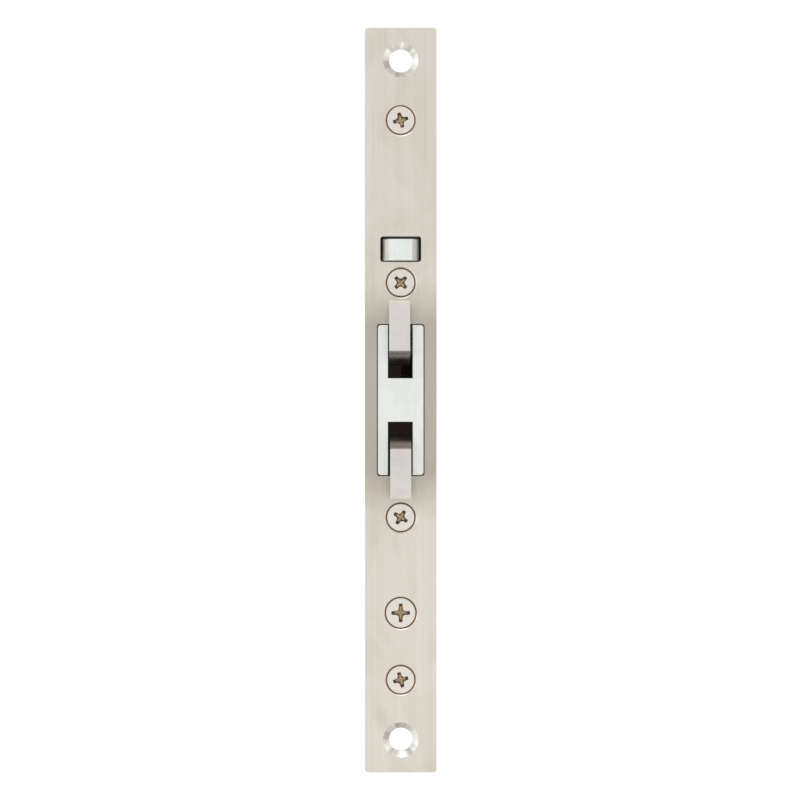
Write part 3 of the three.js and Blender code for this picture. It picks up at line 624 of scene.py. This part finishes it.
def surroundings():
    """A white studio, a little brighter at the right, with a strong strip of light far left."""
    world = bpy.data.worlds.new("studio")
    bpy.context.scene.world = world
    world.use_nodes = True
    tree = world.node_tree
    background = tree.nodes["Background"]
    place_node = tree.nodes.new("ShaderNodeTexCoord")
    parts = tree.nodes.new("ShaderNodeSeparateXYZ")
    tree.links.new(place_node.outputs["Generated"], parts.inputs[0])
    across = parts.outputs[0]

    def ramp(value, low, high, start, stop):
        node = tree.nodes.new("ShaderNodeMapRange")
        node.interpolation_type = "SMOOTHSTEP"
        for key, number in (("From Min", start), ("From Max", stop), ("To Min", low), ("To Max", high)):
            node.inputs[key].default_value = number
        tree.links.new(value, node.inputs["Value"])
        return node.outputs[0]

    def total(a, b):
        node = tree.nodes.new("ShaderNodeMath")
        tree.links.new(a, node.inputs[0])
        tree.links.new(b, node.inputs[1])
        return node.outputs[0]

    strip = ramp(across, STRIP_POWER, 0.0, *STRIP)
    light = total(strip, ramp(across, LEFT_POWER, RIGHT_POWER, *SIDES))
    background.inputs["Color"].default_value = (1.0, 1.0, 1.0, 1.0)
    tree.links.new(light, background.inputs["Strength"])
    area("fill_top", (-0.1, -0.3, 0.7), (0.5, 0.3), 1.2, (1.0, 0.99, 0.97))
    area("near_left", (-0.2, -0.07, 0.0), (0.12, 0.12), 0.026)


def floor():
    bm = bmesh.new()
    low = CAD_BOX[0][2] - FLOOR_GAP
    corners = ((-1, -1), (1, -1), (1, 1), (-1, 1))
    bm.faces.new([bm.verts.new((x * FLOOR_HALF, y * FLOOR_HALF, low)) for x, y in corners])
    obj = from_bmesh("floor", bm)
    n = Nodes("pale_floor")
    speck = n.noise((30, 30, 30), 3.0)
    colour = n.mix(n.span(speck, 0, 1), (0.2, 0.2, 0.2, 1), (0.21, 0.21, 0.21, 1))
    n.done(colour, 0.8, metallic=0.0)
    n.shader.inputs["Emission Color"].default_value = (1.0, 1.0, 1.0, 1.0)
    n.shader.inputs["Emission Strength"].default_value = FLOOR_GLOW
    obj.data.materials.append(n.material)


look()
surroundings()
floor()


# ---------------------------------------------------------------- faceplate, guide and trigger

def countersink(z, bore, sink, straight, lip=0.0):
    """The cutter for a countersunk hole from the faceplate's front, its mouth broken by lip."""
    start, end = THROUGH_PLATE[0], THROUGH_PLATE[1] + 1
    mouth = ((0, start), (sink, start))
    if lip:
        mouth = ((0, start), (sink + lip, start), (sink + lip, 0), (sink, lip * 0.7))
    profile = mouth + ((sink, straight), (bore, straight + sink - bore), (bore, end), (0, end))
    return turned("cutter", profile, "Y", 0, z)


def faceplate():
    outline = rounded(PLATE_WIDTH, PLATE_HEIGHT, PLATE_CORNER)
    plate = prism("faceplate_brushed", outline, "Y", 0, PLATE_THICK)
    holes = [countersink(z, *FIXING_HOLE) for z in FIXING_Z]
    holes += [countersink(z, *CASE_POCKET) for z, _ in CASE_SCREWS]
    holes.append(countersink(CYLINDER_SCREW_Z, *CYLINDER_POCKET))
    holes.append(prism("cutter", rounded(*SLOT), "Y", *THROUGH_PLATE))
    holes.append(prism("cutter", rounded(*WINDOW, 0, WINDOW_Z), "Y", *THROUGH_PLATE))
    soften(cut(plate, *holes), PLATE_EDGE)
    place(plate, PLATE, "lock", "plate_steel", "faceplate")


def hook_guide():
    """The block between the hooks: its front, the narrower part behind the faceplate, and a flange."""
    front = rounded(2 * GUIDE_HALF, GUIDE_HEIGHT, GUIDE_CORNER)
    back = rounded(GUIDE_BACK_WIDTH, GUIDE_HEIGHT, GUIDE_BACK_CORNER)
    flange = rounded(GUIDE_BACK_WIDTH, GUIDE_FLANGE_HEIGHT, GUIDE_BACK_CORNER)
    guide = prism("hook_guide_cast", front, "Y", *GUIDE_FRONT_Y)
    join(guide, prism("more", back, "Y", *GUIDE_BACK_Y), prism("more", flange, "Y", *GUIDE_FLANGE_Y))
    for side in (1, -1):
        start, stop = (side * turn for turn in GUIDE_RELIEF_ARC)
        relief = arc(PIVOT_Y, side * PIVOT_Z, HOOK_SWEEP + GUIDE_CLEARANCE, start, stop, 40)
        outline = relief + [(12, side * 24), (-5, side * 24)]
        cut(guide, prism("cutter", outline, "X", *GUIDE_CHANNEL))
    soften(guide, 0.2)
    place(guide, ZINC, "lock", "zinc", "hook_guide")


def trigger():
    body = prism("trigger_cast", TRIGGER_NOSE, "Z", *around(TRIGGER_Z, TRIGGER_HALF))
    shoulder = prism("more", rounded(*TRIGGER_SHOULDER, 0, TRIGGER_Z), "Y", *TRIGGER_SHOULDER_Y)
    join(body, shoulder, block(TRIGGER_FOOT_X, TRIGGER_FOOT_Y, around(TRIGGER_Z, TRIGGER_FOOT_HALF)))
    soften(body, 0.22, 4, 20)
    place(body, ZINC, "latch_trigger", "zinc", "trigger")


# ---------------------------------------------------------------- hooks

def hook_outline():
    """The blade's outline in (Y, Z): arm, throat, beak, front face, curved underside and heel."""
    low, top, front = HOOK_LOW, HOOK_TOP, HOOK_FRONT
    out = [(PIVOT_Y - HOOK_ARM[0], PIVOT_Z - HOOK_ARM[1])]
    out += arc(PIVOT_Y, PIVOT_Z, HOOK_THROAT, *HOOK_THROAT_ARC, 28)
    bend, end = HOOK_BEAK
    out += bezier(out[-1], (bend, top), (end, top), 10)[1:]
    corner = (front + HOOK_LOW_EDGE[0], low - HOOK_LOW_EDGE[1])
    out += [(front + HOOK_TOP_EDGE, top), (front, top - HOOK_TOP_EDGE)]
    out += [(front, low + HOOK_LOW_EDGE[1]), corner]
    out += bezier(corner, *HOOK_UNDERSIDE, 20)[1:]
    out += [HOOK_HEEL, (PIVOT_Y + HOOK_FOOT[0], PIVOT_Z - HOOK_FOOT[1])]
    return out


def hooks():
    """Each hook: its blade, a hub on the pivot, and a toothed sector beside it."""
    rows = (("upper", 1, "upper_bolt", UPPER_HOOK_SHIFT), ("lower", -1, "lower_bolt", 0.0))
    for name, side, body, shift in rows:
        pivot = (PIVOT_Y, side * PIVOT_Z)
        outline = [(y, side * z) for y, z in hook_outline()]
        left = shift - HOOK_HALF
        blade = prism(name + "_hook_ground", outline, "X", left, shift + HOOK_HALF)
        join(blade, rod_x(HUB_R, left + 0.01, GEAR_X[1], *pivot))
        web = [(PIVOT_Y, PIVOT_Z)] + arc(PIVOT_Y, PIVOT_Z, SECTOR_ROOT, *SECTOR_ARC, 24)
        join(blade, prism("more", [(y, side * z) for y, z in web], "X", *GEAR_X))
        for turn in SECTOR_TEETH:
            tooth = [(PIVOT_Y + y, side * (PIVOT_Z + z)) for y, z in gear_tooth(SECTOR_PITCH, turn)]
            join(blade, prism("more", tooth, "X", *GEAR_X))
        cut(blade, rod_x(PIVOT_BORE, -8, 8, *pivot))
        soften(blade, 0.3, 4)
        place(blade, HOOK, body, "hook_steel", name + "_hook")


def gear_tooth(pitch, turn):
    """One involute tooth of module 1, pointing at turn degrees, as (Y, Z) about the gear's centre."""
    base = pitch * math.cos(PRESSURE)

    def roll(radius):
        t = math.sqrt(max((radius / base) ** 2 - 1, 0))
        return t - math.atan(t)

    thick = (math.pi / 2 - BACKLASH) / (2 * pitch)
    steps = 8
    radii = [pitch - TOOTH_DEPTH]
    radii += [base + t / steps * (pitch + ADDENDUM - base) for t in range(steps + 1)]
    side = [(r, thick + roll(pitch) - roll(max(r, base))) for r in radii]
    outline = [(r, -a) for r, a in side] + list(reversed(side))
    turn = math.radians(turn)
    return [(r * math.cos(turn + a), r * math.sin(turn + a)) for r, a in outline]


# ---------------------------------------------------------------- screws

def recess(z, span, turn, depth):
    """The cross recess: a four-armed star that narrows to a point."""
    arm = ((1.0, -0.6), (span / 2, -0.46), (span / 2, 0.46), (1.0, 0.6), (0.8, 0.8))  # one quarter
    star = []
    for quarter in range(4):
        a = math.radians(turn + 90 * quarter)
        star += [(u * math.cos(a) - v * math.sin(a), u * math.sin(a) + v * math.cos(a)) for u, v in arm]
    bm = bmesh.new()
    rings = []
    for y, shrink in ((-0.5, 1.0), (0.2, 1.0), (depth, 0.58)):
        ring = [(u * shrink, y, z + v * shrink) for u, v in star]
        rings.append([bm.verts.new([c * MM for c in corner]) for corner in ring])
    tip = bm.verts.new((0, depth * 1.3 * MM, z * MM))
    bm.faces.new(rings[0])
    for i in range(len(star)):
        j = (i + 1) % len(star)
        for low, high in zip(rings, rings[1:]):
            bm.faces.new((low[i], low[j], high[j], high[i]))
        bm.faces.new((rings[-1][i], rings[-1][j], tip))
    return from_bmesh("cutter", bm)


def face_screw(name, z, turn, head, shank, length, span, depth):
    """A countersunk screw with a slightly domed head and a pointed shank."""
    dome = [(0, 0.02), (head * 0.5, 0.03), (head - 0.25, 0.05), (head - 0.08, 0.1), (head, 0.22)]
    cone = [(head, HEAD_RIM), (shank, HEAD_RIM + head - shank)]
    point = [(shank, length - 1), (shank - 0.7, length), (0, length)]
    screw = turned(name + "_crossed", dome + cone + point, "Y", 0, z)
    cut(screw, recess(z, span, turn, depth))
    soften(screw, FINE_EDGE, 2, 35)
    place(screw, FACE_SCREW, "lock", "screw_steel", name, origin=(0, 0, z))


def side_screws():
    """The slotted screws that hold the cover."""
    top = SHEET_X - 0.05
    end = top - COVER_SCREW_LONG
    shank = ((0, end), (1.2, end), (1.5, end + 0.4), (1.5, top - 1.2))
    head = ((2.7, top), (1.6, top + 0.02), (0, top + 0.03))
    for number, (y, z) in enumerate(COVER_SCREWS, 1):
        screw = turned(f"cover_screw_{number}_slotted", shank + head, "X", y, z)
        slot_x = (top - COVER_SCREW_SLOT_DEEP, top + 1)
        cut(screw, block(slot_x, around(y, 4), around(z, COVER_SCREW_SLOT)))
        soften(screw, FINE_EDGE, 2, 35)
        place(screw, SIDE_SCREW, "lock", "screw_steel", f"cover_screw_{number}", origin=(0, y, z))


def pins():
    """Pins and studs with chamfered ends, which stop just inside the case's sides."""
    end = SHEET_X - PIN_END
    rows = [("upper_hook_pin", PIVOT_Y, PIVOT_Z, HOOK_PIN_R, -end)]
    rows.append(("lower_hook_pin", PIVOT_Y, -PIVOT_Z, HOOK_PIN_R, -end))
    rows += [("pinion_axle", *AXLE, AXLE_R, -end), ("interlock_pin", *LEVER_PIN, LEVER_PIN_R, -end)]
    rows += [(f"guide_stud_{n}", y, z, STUD_R, STUD_START) for n, (y, z) in enumerate(STUDS, 1)]
    for name, y, z, radius, start in rows:
        edge = PIN_EDGE
        profile = ((0, start), (radius - edge, start), (radius, start + edge))
        profile += ((radius, end - edge), (radius - edge, end), (0, end))
        pin = turned(name + "_turned", profile, "X", y, z, 48)
        soften(pin, 0.04, 2, 30)
        place(pin, SIDE_SCREW, "lock", "screw_steel", name, origin=(0, y, z))


# ---------------------------------------------------------------- case

def case_outline(inset):
    """The case's outline in (Y, Z). Any inset draws the front in by the front wall's thickness."""
    back, lug = CASE_BACK - inset, LUG_BACK - inset
    front = CASE_FRONT + (FRONT_WALL if inset else 0)
    low, high = CASE_BOTTOM + inset, CASE_TOP - inset
    step_low, step = CASE_LOW_STEP + inset, CASE_STEP - inset
    c = CASE_CHAMFER
    return [(front, low), (lug, low), (lug, step_low - c), (lug + c, step_low), (back - c, step_low),
            (back, step_low + c), (back, step - c), (back - c, step), (lug + c, step),
            (lug, step + c), (lug, high), (front, high)]


def cylinder_opening():
    """The cutter for the lock cylinder's profile."""
    lobe = arc(CYLINDER_Y, LOBE_Z, LOBE_R, 180, 360, 24)
    rise = math.degrees(math.asin(LOBE_R / CYLINDER_ROUND))
    round_part = arc(CYLINDER_Y, CYLINDER_Z, CYLINDER_ROUND, -90 + rise, 270 - rise, 56)
    return prism("cutter", lobe + round_part, "X", *THROUGH_CASE)


def within(y, z):
    """True inside the middle of the case's walls."""
    inside = False
    outline = case_outline(CASE_WALL / 2)
    for (y0, z0), (y1, z1) in zip(outline, outline[1:] + outline[:1]):
        if (z0 > z) != (z1 > z) and y < y0 + (z - z0) * (y1 - y0) / (z1 - z0):
            inside = not inside
    return inside


def grease(obj, inner):
    """Gives the faces whose middle passes inner(x, y, z), in millimetres, the greased finish."""
    obj.data.materials.append(INSIDE)
    for face in obj.data.polygons:
        face.material_index = int(inner(*(face.center / MM)))


def case_cover():
    inner = SHEET_X - CASE_WALL
    low, high = 5, THROUGH_CASE[1]
    cover = prism("case_cover_sheet", case_outline(0), "X", inner, SHEET_X)
    holes = [rod_x(STUD_HOLE_R, low, high, y, z) for y, z in STUDS]
    holes += [rod_x(r, low, high, y, z) for y, z, r in PIN_HOLES]
    hole = ((0, low), (POST_HOLE_R, low), (POST_HOLE_R, inner), (3.0, SHEET_X), (3.0, high), (0, high))
    holes += [turned("cutter", hole, "X", y, z) for y, z in COVER_SCREWS]
    cut(cover, *holes, cylinder_opening())
    soften(cover, 0.15)
    place(cover, CASE, "lock", "case_steel", "case_cover")
    grease(cover, lambda x, y, z: x < inner + 0.05)


def case_body():
    """The tray: its walls, the openings at the front, the bosses, and the holes in them."""
    low, high = THROUGH_CASE
    body = prism("case_body_folded", case_outline(0), "X", -SHEET_X, CASE_RIM)
    cut(body, prism("cutter", case_outline(CASE_WALL), "X", CASE_FLOOR, high))
    cut(body, *[block((CASE_FLOOR, high), FRONT_CUT_Y, ends) for ends in FRONT_OPENINGS])
    boss = (BOSS_ROOT, SCREW_BOSS_X)
    bosses = [block(boss, SCREW_BOSS_Y, around(z, SCREW_BOSS_HALF)) for z, _ in CASE_SCREWS]
    boss = (BOSS_ROOT, CYLINDER_BOSS_X)
    bosses.append(block(boss, CYLINDER_BOSS_Y, around(CYLINDER_SCREW_Z, CYLINDER_BOSS_HALF)))
    bosses += [rod_x(PIVOT_PAD_R, BOSS_ROOT, PIVOT_PAD_X, PIVOT_Y, side * PIVOT_Z) for side in (1, -1)]
    bosses.append(rod_x(POST_R, BOSS_ROOT, AXLE_PAD_X, *AXLE))
    bosses.append(rod_x(POST_R, BOSS_ROOT, LEVER_PAD_X, *LEVER_PIN))
    bosses.append(block((BOSS_ROOT, SPRING_BOSS_X), SPRING_BOSS_Y, around(TRIGGER_Z, SPRING_BOSS_HALF)))
    bosses.append(block((BOSS_ROOT, DETENT_BOSS_X), DETENT_BOSS_Y, DETENT_BOSS_Z))
    bosses += [rod_x(POST_R, BOSS_ROOT, CASE_RIM, y, z) for y, z in COVER_SCREWS]
    join(body, *bosses)
    holes = [rod_x(r, low, PIN_HOLE_END, y, z) for y, z, r in PIN_HOLES]
    holes += [rod_y(CASE_POCKET[0], 0, BLIND, 0, z) for z, _ in CASE_SCREWS]
    holes.append(rod_y(CYLINDER_POCKET[0], 0, BLIND, 0, CYLINDER_SCREW_Z))
    holes += [rod_x(POST_HOLE_R, -3, high, y, z) for y, z in COVER_SCREWS]
    holes.append(rod_y(*RIVET_HOLE))
    cut(body, *holes, cylinder_opening())
    soften(body, 0.2)
    place(body, CASE, "lock", "case_steel", "case_body")
    grease(body, lambda x, y, z: x > CASE_FLOOR - 0.15 and within(y, z))


# ---------------------------------------------------------------- spring and inside pieces

def trigger_spring():
    """A coil of round wire."""
    turns, steps, sides = 6, 28, 10
    start, end, radius, wire, left = 9.4, 21.4, 2.0, 0.3, -1.2
    along = Vector((0, 1, 0))
    bm = bmesh.new()
    rings = []
    for i in range(turns * steps + 1):
        angle = i / steps * 2 * math.pi
        outward = Vector((math.cos(angle), 0, math.sin(angle)))
        middle = Vector((left, start + (end - start) * i / (turns * steps), TRIGGER_Z))
        centre = middle + radius * outward
        ring = []
        for k in range(sides):
            a = k / sides * 2 * math.pi
            place_on_wire = centre + wire * (math.cos(a) * outward + math.sin(a) * along)
            ring.append(bm.verts.new(place_on_wire * MM))
        rings.append(ring)
    for low, high in zip(rings, rings[1:]):
        for k in range(sides):
            bm.faces.new((low[k], low[(k + 1) % sides], high[(k + 1) % sides], high[k]))
    bm.faces.new(rings[0])
    bm.faces.new(list(reversed(rings[-1])))
    coil = from_bmesh("trigger_coil", bm)
    coil.data.shade_smooth()
    place(coil, SPRING, "lock", "spring_steel", "trigger_spring")
    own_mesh(coil)


def inside():
    """CAD pieces that keep their shape and get their finish."""
    finishes = {"drive_bar": BAR, "upper_rack_bar": BAR, "reversing_pinion": BAR, "interlock_lever": BAR,
                "detent_spring": SPRING, "detent_rivet": SIDE_SCREW}
    for name, material in finishes.items():
        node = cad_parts[name]
        node.data.materials.clear()
        node.data.materials.append(material)


faceplate()
hook_guide()
trigger()
hooks()
for number, (height, turn) in enumerate(CASE_SCREWS, 1):
    face_screw(f"case_screw_{number}", height, turn, *CASE_SCREW)
face_screw("cylinder_screw", CYLINDER_SCREW_Z, 0, *CYLINDER_SCREW)
side_screws()
pins()
case_cover()
case_body()
trigger_spring()
inside()
